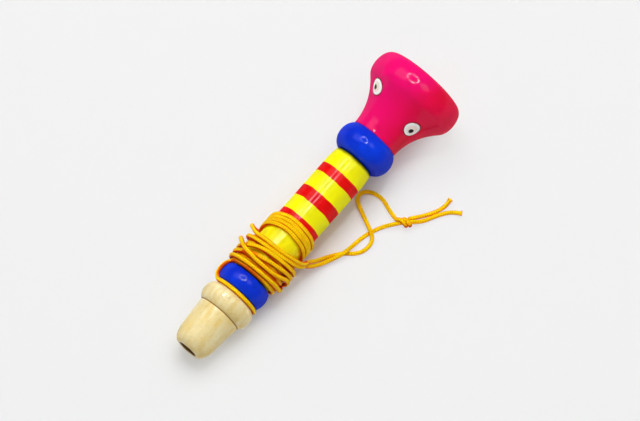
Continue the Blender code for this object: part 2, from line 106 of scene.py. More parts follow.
def placed(name, data):
    """A new object with this data, in the scene."""
    obj = bpy.data.objects.new(name, data)
    bpy.context.scene.collection.objects.link(obj)
    return obj


heading = Vector((math.cos(VIEW_HEADING), math.sin(VIEW_HEADING), 0.0))
away = Vector((0.0, 0.0, math.sin(VIEW_ELEVATION))) - heading * math.cos(VIEW_ELEVATION)
camera = placed("camera", bpy.data.cameras.new("camera"))
bpy.context.scene.camera = camera
camera.location = VIEW_TARGET + away * VIEW_DISTANCE
camera.rotation_euler = (-away).to_track_quat("-Z", "Y").to_euler()
camera.data.lens = camera.data.sensor_width * VIEW_DISTANCE / VIEW_WIDTH
camera.data.clip_end = 4 * VIEW_DISTANCE
print(f"camera: lens {camera.data.lens:.0f} mm at {VIEW_DISTANCE} m")

# %% [markdown]
# The wound cord's route
#
# One limp cord, a little over a metre and a half long, starts on the floor, winds round the barrel towards
# the mouthpiece, lies once in the neck groove, winds back over itself and leaves beside its own start. A cord
# on a round thing is easiest to describe unrolled: turns round the axis, station along it and radius. The
# inner turns follow a formula, side by side on the floor side and bowed towards the bell on the upper side.
# The loose outer turns are listed places. A turn of 0 is the floor side, a quarter is +Y, a half is
# the top and three quarters is -Y.

# %% Sizes of the winding
CORD_D = 2.0 * MM
BARREL_R = 10.7 * MM
GROOVE_R = 10.5 * MM
LOWER_RING_R = 12.7 * MM
COLLAR_END = 31.9 * MM
LOWER_RING_START = 34.6 * MM
LOWER_RING_END = 43.6 * MM
LOWER_RING_FORM = (LOWER_RING_R, (LOWER_RING_START + LOWER_RING_END) / 2, 7.2 * MM, 5.5 * MM)
SEAT = 0.05 * MM
INNER_R = BARREL_R + SEAT + CORD_D / 2
OUTER_R = INNER_R + CORD_D + SEAT
GROOVE_CORD_R = GROOVE_R + SEAT + CORD_D / 2
GROOVE_CORD = (COLLAR_END + LOWER_RING_START) / 2
print(f"cord layers: {INNER_R / MM:.2f} and {OUTER_R / MM:.2f} mm from the axis")

# %% Inner turns
TURN_PITCH = 1.9 * MM
FIRST_TURN = 67.5 * MM
BOW_STEPS = 8

# How far each inner turn bows towards the bell on its upper side, in millimetres
BOWS = [9.6, 9.6, 9.7, 9.6, 1.1, 1.1, 1.2, -1.4, -1.25, -1.05, -0.75, -0.45]

# How late each of them reaches its bow, where 1 is an even swing
SWINGS = [0.52, 0.64, 0.58, 0.7, 1.0, 1.0, 2.4, 2.4, 1.0, 0.8, 1.0, 0.9]


def inner_keys():
    keys = []
    for i in range(1, BOW_STEPS * len(BOWS) - BOW_STEPS // 2):
        turn = i / BOW_STEPS
        rise = (1 - math.cos(2 * math.pi * turn)) / 2
        if turn % 1 < 0.5:
            rise **= SWINGS[int(turn)]
        keys.append((-turn, FIRST_TURN - turn * TURN_PITCH + rise * BOWS[int(turn)] * MM, INNER_R))
    return keys


inner_turns = inner_keys()
print(f"inner layer: {len(BOWS)} turns, {len(inner_turns)} places")

# %% Outer turns
# Turns round the axis, station and height over the outer layer, in millimetres
COMING_IN = [
    (0.79, 66.8, 0.7), (0.74, 64.7, 0.3), (0.66, 62.4, 0.1), (0.54, 60.4, 0.1), (0.40, 60.3, 0.5),
    (0.28, 63.2, 1.9), (0.21, 63.8, 1.9), (0.13, 65.6, 0.6), (0.05, 67.6, -0.5),
]
GOING_OUT = [
    (0.25, 46.4, 0.0), (0.50, 46.8, 0.0), (0.75, 48.2, 0.0), (0.86, 51.4, 0.0), (1.00, 52.8, 0.0),
    (1.08, 53.6, 1.6), (1.14, 54.4, 2.1), (1.25, 55.6, 1.8), (1.33, 54.4, 2.2), (1.40, 51.6, 2.1),
    (1.45, 50.5, 1.6), (1.51, 50.0, 0.8), (1.59, 50.4, 0.1), (1.75, 54.0, 0.2), (1.84, 53.4, 0.9),
    (1.90, 52.4, 1.8), (2.00, 50.6, 0.0), (2.25, 48.8, 0.0), (2.40, 50.4, 0.0), (2.50, 52.6, 0.1),
    (2.58, 54.0, 0.0), (2.66, 55.2, 0.0), (2.75, 56.1, 0.0), (3.00, 54.9, 0.0), (3.25, 51.3, 0.0),
    (3.34, 52.7, 0.0), (3.50, 56.5, 0.0), (3.75, 58.6, 0.0), (4.00, 59.0, 0.0), (4.25, 58.4, 0.0),
    (4.40, 58.0, 0.0), (4.54, 58.5, 0.0), (4.66, 60.5, 0.1), (4.74, 62.8, 0.4), (4.79, 64.8, 0.8),
]


def outer_keys(places, first_turn):
    return [(first_turn + turn, station * MM, OUTER_R + height * MM) for turn, station, height in places]


print(f"outer layer: {len(COMING_IN)} places on the way in and {len(GOING_OUT)} on the way out")

# %% Round the neck
NECK_BEND = 4.2 * MM
NECK_BEND_STEPS = 6
RING_CLEARANCE = 0.5 * MM

# Where the cord passes over the lower ring, in turns before and after the top of the last inner turn
CROSSING = 0.215
LEAVING = 0.585


def over_neck(station, beyond):
    """Radius of a cord that lies in the groove, over the lower ring, or beyond that ring."""
    radius, middle, half_length, height = LOWER_RING_FORM
    if station < LOWER_RING_START:
        return GROOVE_CORD_R
    if station > LOWER_RING_END:
        return beyond
    return radius - height * (1 - math.sqrt(1 - ((station - middle) / half_length) ** 2)) + SEAT + CORD_D / 2


def neck_bend(start, end, starts_round, beyond):
    """A quarter bend between two places. It starts round the axis and ends along it, or the other way."""
    keys = []
    for angle in np.linspace(0, math.pi / 2, NECK_BEND_STEPS):
        shares = math.sin(angle), 1 - math.cos(angle)
        round_share, along_share = shares if starts_round else shares[::-1]
        station = start[1] + (end[1] - start[1]) * along_share
        keys.append((start[0] + (end[0] - start[0]) * round_share, station, over_neck(station, beyond)))
    return keys


def neck_keys(top):
    """Over the lower ring, once round the neck groove, and back over the ring on the hidden side."""
    bend_turn = NECK_BEND / (2 * math.pi * OUTER_R)
    crossing = top - CROSSING
    leaving = top + LEAVING
    over = leaving + bend_turn
    middle = LOWER_RING_FORM[1]
    in_groove = GROOVE_CORD + NECK_BEND
    last_inner = LOWER_RING_END + CORD_D / 2 + RING_CLEARANCE
    first_outer = GOING_OUT[0][1] * MM
    keys = neck_bend((crossing + bend_turn, last_inner), (crossing, last_inner - NECK_BEND), True, INNER_R)
    keys += [(crossing, middle, over_neck(middle, INNER_R))]
    keys += neck_bend((crossing, in_groove), (crossing + bend_turn, GROOVE_CORD), False, INNER_R)
    keys += neck_bend((leaving, GROOVE_CORD), (over, in_groove), True, OUTER_R)
    keys += [(over, middle, over_neck(middle, OUTER_R))]
    keys += neck_bend((over, first_outer - NECK_BEND), (over + bend_turn, first_outer), False, OUTER_R)
    return keys


last_top = 0.5 - len(BOWS)
winding_keys = outer_keys(COMING_IN, 0) + inner_turns + neck_keys(last_top)
winding_keys += outer_keys(GOING_OUT, math.ceil(last_top))
turns = sum(abs(b[0] - a[0]) for a, b in zip(winding_keys, winding_keys[1:]))
print(f"winding: {len(winding_keys)} places over {turns:.1f} turns")

# %% [markdown]
# From places to a smooth line
#
# A cord is never angular. The winding's places are joined by a curve whose slope at each place is the smaller
# of the two slopes beside it, so it never swings past a place and never dives into the barrel. The result is
# read off at even steps, because the braid that is modelled later needs rings at equal distances.

# %% Smooth line through the winding
LOOP_POINTS = 240
LEAST_STEPS = 12
WINDING_STEP = 0.29 * MM


def distances(points):
    """How far along a line each of its points lies."""
    return np.concatenate([[0.0], np.cumsum(np.linalg.norm(np.diff(points, axis=0), axis=1))])


def read_off(marks, along, points):
    """Places at these distances along a line."""
    return np.stack([np.interp(marks, along, column) for column in points.T], axis=-1)


def evenly(points, step):
    """The same line, read off at even distances of about this step, both ends included."""
    places = np.array(points)
    along = distances(places)
    marks = np.linspace(0, along[-1], round(along[-1] / step) + 1)
    return read_off(marks, along, places)


def gentle_slopes(knots, values):
    rises = np.diff(values) / np.diff(knots)
    slopes = np.zeros(len(values))
    slopes[0], slopes[-1] = rises[0], rises[-1]
    for i in range(1, len(values) - 1):
        if rises[i - 1] * rises[i] > 0:
            slopes[i] = min(rises[i - 1], rises[i], key=abs)
    return slopes


def wound_line(keys):
    """The winding's centre line in the world, from its unrolled places."""
    rows = np.array(keys)
    knots = distances(rows * np.array([2 * math.pi * OUTER_R, 1.0, 1.0]))
    slopes = np.array([gentle_slopes(knots, rows[:, i]) for i in range(3)]).T
    places = [rows[0]]
    for i in range(len(rows) - 1):
        span = knots[i + 1] - knots[i]
        steps = max(LEAST_STEPS, round(LOOP_POINTS * abs(rows[i + 1, 0] - rows[i, 0])))
        for t in np.arange(1, steps + 1) / steps:
            start = (1 + 2 * t) * (1 - t) ** 2 * rows[i] + t * (1 - t) ** 2 * span * slopes[i]
            end = t * t * (3 - 2 * t) * rows[i + 1] + t * t * (t - 1) * span * slopes[i + 1]
            places.append(start + end)
    points = []
    for turn, station, radius in places:
        angle = 2 * math.pi * turn
        points.append(to_world @ Vector((radius * math.cos(angle), radius * math.sin(angle), station)))
    return points


wound = evenly(wound_line(winding_keys), WINDING_STEP)
print(f"winding: {len(wound)} points, {WINDING_STEP / MM:.2f} mm apart")

# %% Easing the bends
WINDING_EASE = 1.3 * MM


def relaxed(line, step, reach):
    """The same line with its sharp bends eased over this reach. Its ends stay."""
    count = math.ceil(3 * reach / step)
    weights = np.exp(-0.5 * (np.arange(-count, count + 1) * step / reach) ** 2)
    weights /= weights.sum()
    before = 2 * line[0] - line[count:0:-1]
    after = 2 * line[-1] - line[-2 : -count - 2 : -1]
    longer = np.vstack([before, line, after])
    return np.stack([np.convolve(longer[:, i], weights, mode="valid") for i in range(3)], axis=1)


wound = evenly(relaxed(wound, WINDING_STEP, WINDING_EASE), WINDING_STEP)
print(f"winding: {WINDING_STEP * (len(wound) - 1) / MM:.0f} mm of cord")

# %% [markdown]
# The free cord's route
#
# Both strands drop from the barrel to the floor, cross each other twice, and meet in a knot, and two short
# tails stick out of it. Their places are given in millimetres from the mouthpiece's end, with the height of
# the cord's underside. Strand A comes to lie beside strand B, winds twice round it to make the knot, and goes
# on beside it as the upper tail. A simulation could let the cord fall, but it would not come to lie in this
# way.

# %% Places along the free strands
KNOT_CENTRE = (114.4, -33.6, 2.0)
STRAND_A = [
    (69.4, -14.0, 7.6), (72.2, -14.8, 4.2), (75.2, -15.8, 1.9), (78.5, -17.2, 0.5),
    (82.4, -19.6, 0.0), (85.3, -22.2, 0.0), (87.6, -25.0, 0.0), (90.8, -27.2, 0.0),
    (94.9, -28.0, 0.3), (98.4, -26.9, 1.2), (100.6, -23.6, 2.2), (103.3, -18.4, 1.2),
    (105.5, -14.2, 0.3), (107.6, -10.4, 0.0), (110.2, -8.3, 0.0), (113.0, -8.6, 0.0),
    (115.2, -11.0, 0.0), (116.3, -14.6, 0.0), (116.2, -18.4, 0.0), (114.9, -22.0, 0.1),
    (113.6, -25.8, 0.8),
]
STRAND_B = [
    (67.2, -14.8, 7.4), (70.2, -16.0, 4.0), (73.6, -17.4, 1.9), (77.4, -19.0, 1.3),
    (81.6, -20.9, 1.9), (85.4, -22.0, 2.2), (89.8, -22.3, 1.0), (95.4, -22.8, 0.0),
    (100.1, -24.0, 0.0), (105.7, -26.4, 0.1), (110.2, -29.8, 1.3), (114.4, -33.6, 2.2),
    (118.0, -37.0, 1.2), (121.0, -39.0, 0.1), (124.2, -40.6, 0.0), (128.0, -42.6, 0.0),
    (132.0, -45.5, 0.0), (135.1, -49.9, 0.4),
]
TAIL_A = [
    (121.3, -36.6, 0.8), (124.4, -38.4, 0.2), (127.4, -40.0, 0.0), (130.2, -41.1, 0.0),
    (133.3, -41.7, 0.0), (136.9, -41.5, 0.4),
]
print(f"free cord: {len(STRAND_A)}, {len(STRAND_B)} and {len(TAIL_A)} places")

# %% Tools for free cord
ROUTE_SAMPLES = 60
SWELL_ROOM = 1.06
RESTING = CORD_D / 2 * SWELL_ROOM


def smooth_route(points):
    """A dense smooth line through a few places."""
    places = np.array(points)
    padded = np.vstack([2 * places[0] - places[1], places, 2 * places[-1] - places[-2]])
    dense = []
    for a, b, c, d in zip(padded, padded[1:], padded[2:], padded[3:]):
        for t in np.linspace(0, 1, ROUTE_SAMPLES, endpoint=False):
            bend = 2 * b + (c - a) * t + (2 * a - 5 * b + 4 * c - d) * t**2 + (3 * b - a - 3 * c + d) * t**3
            dense.append(bend / 2)
    return dense + [places[-1]]


def past(points):
    """A place one diameter beyond a line's last point, straight on."""
    ahead = Vector(points[-1]) - Vector(points[-2])
    return Vector(points[-1]) + ahead.normalized() * CORD_D


def on_floor(places):
    corner = Vector((axis_start.x, 0.0, RESTING))
    return [Vector(place) * MM + corner for place in places]


print(f"on the floor the cord's middle is {RESTING / MM:.2f} mm up")

# %% Strands and knot
FREE_STEP = 0.24 * MM
FREE_EASE = 0.7 * MM
KNOT_R = 1.7 * MM
KNOT_LENGTH = 7.0 * MM
KNOT_SLANT = -0.8 * MM
KNOT_TURNS = 2
KNOT_POINTS = 120
KNOT_AXIS = Vector((0.735, -0.678, 0.0)).normalized()


def knot_line():
    """Strand A's turns round strand B. They begin and end gently, beside it."""
    across = Vector((-KNOT_AXIS.y, KNOT_AXIS.x, 0.0))
    centre = on_floor([KNOT_CENTRE])[0]
    points = []
    for t in np.linspace(0, 1, KNOT_POINTS):
        angle = KNOT_TURNS * (2 * math.pi * t - math.sin(2 * math.pi * t))
        ahead = KNOT_AXIS * (KNOT_LENGTH * (t - 0.5) + KNOT_SLANT * math.cos(angle))
        spoke = across * math.cos(angle) + Vector((0, 0, 1)) * math.sin(angle)
        points.append(centre + ahead + KNOT_R * spoke)
    return points


def laid(points):
    """A free strand through these points, with its bends eased, nowhere lower than on the floor."""
    eased = relaxed(evenly(points, FREE_STEP), FREE_STEP, FREE_EASE)
    return evenly(np.maximum(eased, (-np.inf, -np.inf, RESTING)), FREE_STEP)


knot = knot_line()
leading = smooth_route([wound[0], past(wound[1::-1])] + on_floor(STRAND_A) + [knot[0]])
trailing = smooth_route([knot[-1]] + on_floor(TAIL_A))
whole_a = laid(leading + knot[1:-1] + trailing)
strand_b = laid(smooth_route([wound[-1], past(wound)] + on_floor(STRAND_B)))
knot_start = int(np.argmin(np.linalg.norm(whole_a - np.array(knot[0]), axis=1)))
strand_a, knot_and_tail = whole_a[: knot_start + 1], whole_a[knot_start:]
free_length = FREE_STEP * (len(whole_a) + len(strand_b) - 2)
lowest = min(whole_a[:, 2].min(), strand_b[:, 2].min())
print(f"free strands: {free_length / MM:.0f} mm, their middle at least {lowest / MM:.2f} mm up")

# %% [markdown]
# Shader maths as plain expressions
#
# A finish is a small sum of masks and noises, and reads best as one. Shade wraps a number on a surface, so
# that 1 - mask or a * b adds the Math nodes for it. Nodes holds one node tree: its node method makes any node
# from its type, its settings and its sockets, and the other methods are short words for nodes that come back
# often. Finish is the tree of one material. Most finishes read the piece's own Object coordinates, turned so
# that Z runs along the trumpet.

# %% Shade
def both_ways(operation):
    """An operator and its reflected form, for a plain number on the left."""
    return (
        lambda shade, other: shade.math(operation, shade, other),
        lambda shade, other: shade.math(operation, other, shade),
    )


class Shade:
    """A number that varies over a surface."""

    __add__, __radd__ = both_ways("ADD")
    __sub__, __rsub__ = both_ways("SUBTRACT")
    __mul__, __rmul__ = both_ways("MULTIPLY")
    __truediv__, __rtruediv__ = both_ways("DIVIDE")

    def __init__(self, nodes, socket):
        self.nodes = nodes
        self.socket = socket

    def math(self, operation, first, second=0.0):
        return self.nodes.node("ShaderNodeMath", {"operation": operation}, {0: first, 1: second})

    def sine(self):
        return self.math("SINE", self)

    def largest(self, other):
        return self.math("MAXIMUM", self, other)

    def rising(self, low, high):
        """0 below low, 1 above high, smooth between."""
        settings = {"interpolation_type": "SMOOTHSTEP"}
        return self.nodes.node("ShaderNodeMapRange", settings, {0: self, 1: low, 2: high})

    def within(self, low, high, soft):
        """1 between low and high, with soft edges."""
        return self.rising(low - soft, low + soft) * (1 - self.rising(high - soft, high + soft))


print("Shade: + - * / and a few words add their nodes")

# %% Nodes
class Nodes:
    """A node tree and the one way to add to it."""

    def __init__(self, tree):
        self.tree = tree

    def node(self, kind, settings=None, sockets=None, out=0):
        made = self.tree.nodes.new(kind)
        for name, value in (settings or {}).items():
            setattr(made, name, value)
        for key, value in (sockets or {}).items():
            self.feed(self.socket(made.inputs, key), value)
        return Shade(self, self.socket(made.outputs, out))

    @staticmethod
    def socket(sockets, key):
        if isinstance(key, int):
            return sockets[key]
        return next(s for s in sockets if s.name == key and s.enabled)

    def feed(self, socket, value):
        if isinstance(value, Shade):
            self.tree.links.new(value.socket, socket)
        elif socket.type == "RGBA":
            socket.default_value = (*value, 1.0)
        else:
            socket.default_value = value

    def part_of(self, place, letter):
        return self.node("ShaderNodeSeparateXYZ", {}, {0: place}, out=letter)

    def ray(self, kind):
        """1 for this kind of ray and 0 for all others."""
        return self.node("ShaderNodeLightPath", out=f"Is {kind} Ray")

    def mix(self, mask, first, second):
        return self.node("ShaderNodeMixShader", {}, {0: mask, 1: first, 2: second})

    def end_in(self, output, shader):
        self.feed(self.tree.nodes[output].inputs["Surface"], shader)


print("Nodes: one method makes every node")

# %% Finish
class Finish(Nodes):
    """One procedural material on a Principled shader."""

    def __init__(self, name, **constants):
        self.material = bpy.data.materials.new(name)
        self.material.use_nodes = True
        super().__init__(self.material.node_tree)
        self.shader = self.tree.nodes["Principled BSDF"]
        for socket, value in constants.items():
            self.shader.inputs[socket.replace("_", " ").title().replace("Ior", "IOR")].default_value = value

    def along_axis(self):
        """Object coordinates in the trumpet's own frame."""
        place = self.node("ShaderNodeTexCoord", out="Object")
        turn = from_world.to_euler()
        return self.node(
            "ShaderNodeMapping", {}, {"Vector": place, "Location": from_world.translation, "Rotation": turn}
        )

    def vector(self, operation, first, second=(0, 0, 0), out=0):
        return self.node("ShaderNodeVectorMath", {"operation": operation}, {0: first, 1: second}, out)

    def stretched(self, place, sizes):
        """Coordinates in units of these sizes, in metres."""
        return self.vector("MULTIPLY", place, tuple(1 / size for size in sizes))

    def length(self, place):
        return self.vector("LENGTH", place, out="Value")

    def from_axis(self, place):
        """Distance from the trumpet's axis, for coordinates in its own frame."""
        return self.length(self.vector("MULTIPLY", place, (1, 1, 0)))

    def texture(self, kind, place, across, along, **sockets):
        """A texture with spots of one size, or of one size across the axis and another along it."""
        spots = self.stretched(place, (across, across, along or across))
        return self.node(kind, {}, {"Vector": spots, "Scale": 1.0, **sockets})

    def noise(self, place, across, along=None, detail=2.0):
        return self.texture("ShaderNodeTexNoise", place, across, along, Detail=detail)

    def cells(self, place, across, along=None):
        """Distance to the nearest of many scattered points."""
        return self.texture("ShaderNodeTexVoronoi", place, across, along)

    def blend(self, mask, first, second):
        sockets = {"Factor": mask, "A": first, "B": second}
        return self.node("ShaderNodeMix", {"data_type": "RGBA"}, sockets, out="Result")

    def set(self, socket, value):
        self.feed(self.shader.inputs[socket], value)

    def surface(self, colour, roughness, height, depth):
        """The finished material. Its bump is this deep, in metres, between heights 0 and 1."""
        self.set("Base Color", colour)
        self.set("Roughness", roughness)
        bump = self.node("ShaderNodeBump", {}, {"Height": height, "Distance": depth, "Strength": 1.0})
        self.set("Normal", bump)
        print(f"{self.material.name}: {len(self.tree.nodes)} nodes")
        return self.material


def srgb(red, green, blue):
    """A colour as it looks on a screen, 0 to 255, in the linear values that shaders use."""
    parts = [value / 255 for value in (red, green, blue)]
    return tuple(p / 12.92 if p <= 0.04045 else ((p + 0.055) / 1.055) ** 2.4 for p in parts)


print("Finish: cord yellow in linear values is", [round(v, 3) for v in srgb(255, 206, 0)])

# %% [markdown]
# Braided cord
#
# The cord is braided from eight yarns, four each way round. A picture of a braid could be wrapped round it,
# but two families of helices that cross stay sharp at any size. Their product is high where a yarn lies on
# top and low between, so it gives bright yarns, deeper gaps with darker orange painted shade in them, and
# fine fibres. A UV map says where a point lies around and along the cord. An attribute says how far the point
# faces outward, less where other turns lie over it, and a deep orange-red painted shade is laid where it
# faces away, where turns press together and where the cord lies on something.

# %% Cord finish
BRAID_YARNS = 4
BRAID_PERIOD = 2.3 * MM
FIBRES = 9
YARN_TOP = (srgb(255, 206, 0), srgb(255, 220, 4))
# Darker orange, painted as shade in the gaps between yarns
YARN_GAP_SHADE = (srgb(254, 148, 0), srgb(255, 166, 0))
# Deep orange-red, painted as shade where the cord faces in, lies on something or lies under other turns
YARN_DEEP_SHADE = srgb(228, 56, 0)


def cord_finish():
    finish = Finish(
        "braided_cord",
        roughness=0.7,
        specular_ior_level=0.08,
        subsurface_weight=0.2,
        subsurface_radius=(1.0, 0.45, 0.1),
        subsurface_scale=0.6 * MM,
    )
    uv = finish.node("ShaderNodeUVMap", {"uv_map": "braid"})
    around = finish.part_of(uv, "X")
    along = finish.part_of(uv, "Y")
    left = (around * (BRAID_YARNS / 2) + along) * (2 * math.pi)
    right = (around * (BRAID_YARNS / 2) - along) * (2 * math.pi)
    crossing = (left + math.pi / 2).sine() * (right + math.pi / 2).sine()
    raised = crossing * 0.5 + 0.5
    fibres = (left * FIBRES).sine() * raised + (right * FIBRES).sine() * (1 - raised)
    place = finish.node("ShaderNodeTexCoord", out="Object")
    dye = finish.noise(place, 9 * MM)
    bright = finish.blend(dye, *YARN_TOP)
    shaded = finish.blend(dye, *YARN_GAP_SHADE)
    # Painted shade: the gaps between yarns take the darker shaded tones
    colour = finish.blend((raised + fibres * 0.12).rising(0.0, 0.5), shaded, bright)
    facing = finish.node("ShaderNodeAttribute", {"attribute_name": "facing"}, out="Fac")
    # Painted shade: deep orange-red where facing is low
    painted_under_shade = 1 - (facing + (dye - 0.5) * 0.4).rising(0.15, 0.88)
    colour = finish.blend(painted_under_shade * 0.92, colour, YARN_DEEP_SHADE)
    height = raised * 0.7 + fibres * 0.15 + 0.15
    return finish.surface(colour, 0.7 - raised * 0.14, height, 0.05 * MM)


cord_material = cord_finish()

# %% [markdown]
# The braid in the mesh
#
# Eight yarns could be modelled one by one, but would need many times the faces. A bevelled curve gives an
# even tube with one ring of points at each step. The braid is then pressed into it by the same helices as in
# the finish, so that the yarns stand out in the mesh too, and the cut ends splay.

# %% Tube and braid map
def cord_tube(name, line, sides):
    """An even tube along a line, as a mesh with its points ring by ring."""
    curve = bpy.data.curves.new(name, "CURVE")
    curve.dimensions = "3D"
    curve.bevel_depth = CORD_D / 2
    curve.bevel_resolution = sides // 2 - 2
    spline = curve.splines.new("POLY")
    spline.points.add(len(line) - 1)
    spline.points.foreach_set("co", np.hstack([line, np.ones((len(line), 1))]).ravel())
    guide = bpy.data.objects.new(name, curve)
    mesh = bpy.data.meshes.new_from_object(guide)
    mesh.name = name
    bpy.data.objects.remove(guide)
    bpy.data.curves.remove(curve)
    return mesh


def braid_map(mesh, sides, step):
    """UV map with the place around the cord from 0 to 1, and the place along it in braid periods."""
    corners = np.zeros(len(mesh.loops), int)
    mesh.loops.foreach_get("vertex_index", corners)
    starts = np.zeros(len(mesh.polygons), int)
    mesh.polygons.foreach_get("loop_start", starts)
    around = (corners % sides) / sides
    widest = np.maximum.reduceat(around, starts)
    counts = np.diff(np.append(starts, len(corners)))
    crosses_seam = np.repeat(widest, counts) > 0.75
    around[crosses_seam & (around < 0.25)] += 1.0
    along = (corners // sides) * step / BRAID_PERIOD
    mesh.uv_layers.new(name="braid").uv.foreach_set("vector", np.stack([around, along], axis=1).ravel())


def close_ends(mesh):
    bm = bmesh.new()
    bm.from_mesh(mesh)
    bmesh.ops.holes_fill(bm, edges=[edge for edge in bm.edges if edge.is_boundary], sides=0)
    bmesh.ops.recalc_face_normals(bm, faces=bm.faces)
    bm.to_mesh(mesh)
    bm.free()


print(f"a braid period is {BRAID_PERIOD / WINDING_STEP:.1f} rings of the winding")

# %% Turns under other turns
COVER_REACH = 1.4 * CORD_D


def covered(line, radii):
    """How far each place of the winding lies under other turns, from 0 to 1."""
    tree = KDTree(len(line))
    for i, place in enumerate(line):
        tree.insert(place, i)
    tree.balance()
    shares = []
    for place, radius in zip(line, radii):
        over = [i for _, i, _ in tree.find_range(place, COVER_REACH) if radii[i] > radius + CORD_D / 2]
        shares.append(min(1.0, len(over) * WINDING_STEP / COVER_REACH))
    return np.array(shares)[:, None]


axis_way = np.array(to_world.col[2][:3])
from_start = wound - np.array(axis_start)
spokes = from_start - np.outer(from_start @ axis_way, axis_way)
under = covered(wound, np.linalg.norm(spokes, axis=1))
print(f"{under.mean() * 100:.0f} percent of the winding is covered by other turns")

# %% Braided pieces
BRAID_DEPTH = 0.055
SPLAY = 0.3
SPLAY_LENGTH = 1.6 * MM
WINDING_SIDES = 20
FREE_SIDES = 24
# How much a place under other turns adds to the painted shade; the free strands' negative share lessens it
COVER_SHADE = 0.55
FREE_COVER = -0.4
UP = np.array((0.0, 0.0, 1.0))


def finished(name, mesh, material):
    """A mesh becomes a smooth piece that rides on the trumpet."""
    mesh.shade_smooth()
    mesh.materials.append(material)
    piece = placed(name, mesh)
    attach(piece, "trumpet")
    print(f"{name}: {len(mesh.polygons)} faces")
    return piece


def braided(name, line, sides, step, outward, splayed_end, cover=0.0):
    """A braided cord along a line. Outward is the way that its open side faces, once or for each point."""
    mesh = cord_tube(name, line, sides)
    rings = np.zeros(len(mesh.vertices) * 3)
    mesh.vertices.foreach_get("co", rings)
    rings = rings.reshape(-1, sides, 3)
    around = np.arange(sides)[None, :] / sides
    along = np.arange(len(rings))[:, None] * step
    left = 2 * math.pi * (around * BRAID_YARNS / 2 + along / BRAID_PERIOD)
    right = 2 * math.pi * (around * BRAID_YARNS / 2 - along / BRAID_PERIOD)
    swell = 1 + BRAID_DEPTH * np.cos(left) * np.cos(right)
    if splayed_end:
        to_end = along[-1] - along
        swell = swell * (1 + SPLAY * np.clip(1 - to_end / SPLAY_LENGTH, 0, 1) ** 2)
    middles = np.array(line)[:, None, :]
    open_way = (np.ones_like(line) * outward)[:, None, :]
    open_way /= np.linalg.norm(open_way, axis=2, keepdims=True)
    # facing drops under other turns, and the finish paints shade where it is low
    facing = np.sum((rings - middles) * open_way, axis=2) / (CORD_D / 2) - COVER_SHADE * cover
    mesh.vertices.foreach_set("co", (middles + (rings - middles) * swell[:, :, None]).ravel())
    mesh.attributes.new("facing", "FLOAT", "POINT").data.foreach_set("value", facing.ravel())
    braid_map(mesh, sides, step)
    close_ends(mesh)
    return finished(name, mesh, cord_material)


wound_cord = braided("wound_cord", wound, WINDING_SIDES, WINDING_STEP, spokes, False, under)
knotted_strand = braided("knotted_strand", strand_a, FREE_SIDES, FREE_STEP, UP, False, FREE_COVER)
knot_piece = braided("knot_and_tail", knot_and_tail, FREE_SIDES, FREE_STEP, UP, True)
straight_strand = braided("straight_strand", strand_b, FREE_SIDES, FREE_STEP, UP, True, FREE_COVER)
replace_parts(wound_cord, "cord_winding")
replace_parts(knotted_strand, "cord_strand_a")
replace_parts(knot_piece, "cord_knot", "cord_tail_a")
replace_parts(straight_strand, "cord_strand_b")

# %% [markdown]
# How long the cord is
#
# The winding and the free strands together make one cord, and its whole length is printed.


print(f"cord: {(WINDING_STEP * (len(wound) - 1) + free_length) / MM:.0f} mm in all")

# %% [markdown]
# Turned pieces
#
# A lathe makes each wooden piece by turning a blank against a tool, so each is one profile spun about the
# axis. A solid of revolution needs only that profile: a few corners, with the round stretches as parts of
# ellipses and two long curves for the bell. After the spin, the sharp edges get the small round that sanding
# and paint leave on them. The solids are spun with flats that touch the floor, so the fine pieces are
# drawn in by the same hair and rest on the floor too.

# %% Curves of a profile
def crown(radius, widest, half_length, height, start, end, steps):
    """Points of a bead's rounded outside, from one station to another, on an ellipse of this height."""
    first = math.asin(max(-1.0, (start - widest) / half_length))
    last = math.asin(min(1.0, (end - widest) / half_length))
    angles = np.linspace(first, last, steps + 1)
    return [(radius - height * (1 - math.cos(a)), widest + half_length * math.sin(a)) for a in angles]


def quarter(centre, size, start, steps):
    """A quarter of an ellipse, turning left from the start angle in degrees."""
    angles = np.radians(np.linspace(start, start + 90, steps + 1))
    return [(centre[0] + size[0] * math.cos(a), centre[1] + size[1] * math.sin(a)) for a in angles]


def long_curve(first, first_pull, last_pull, last, steps):
    """Points on one cubic curve. The pulls are its handles, measured from its ends."""
    corners = np.array([first, Vector(first) + first_pull, Vector(last) + last_pull, last])
    points = []
    for t in np.linspace(0, 1, steps + 1):
        weights = ((1 - t) ** 3, 3 * t * (1 - t) ** 2, 3 * t * t * (1 - t), t**3)
        points.append(tuple(np.array(weights) @ corners))
    return points


print("a quarter in 4 steps has", len(quarter((0, 0), (1, 1), 0, 4)), "points")

# %% Turning
SOLID_FACETS = 40
SEGMENTS = 144
ROUND = math.cos(math.pi / SOLID_FACETS)
EDGE_ROUND = 0.22 * MM
EDGE_ANGLE = math.radians(38)
EDGE_STEPS = 3


def mesh_of(name, bm):
    mesh = bpy.data.meshes.new(name)
    bm.to_mesh(mesh)
    bm.free()
    return mesh


def add_piece(name, bm, material):
    """A finished bmesh in the trumpet's own frame becomes a piece at its place in the world."""
    bm.transform(to_world)
    return finished(name, mesh_of(name, bm), material)


def spin(bm, profile, steps):
    """A profile goes once round the axis."""
    full = 2 * math.pi
    bmesh.ops.spin(bm, geom=profile, cent=(0, 0, 0), axis=(0, 0, 1), angle=full, steps=steps, use_merge=True)


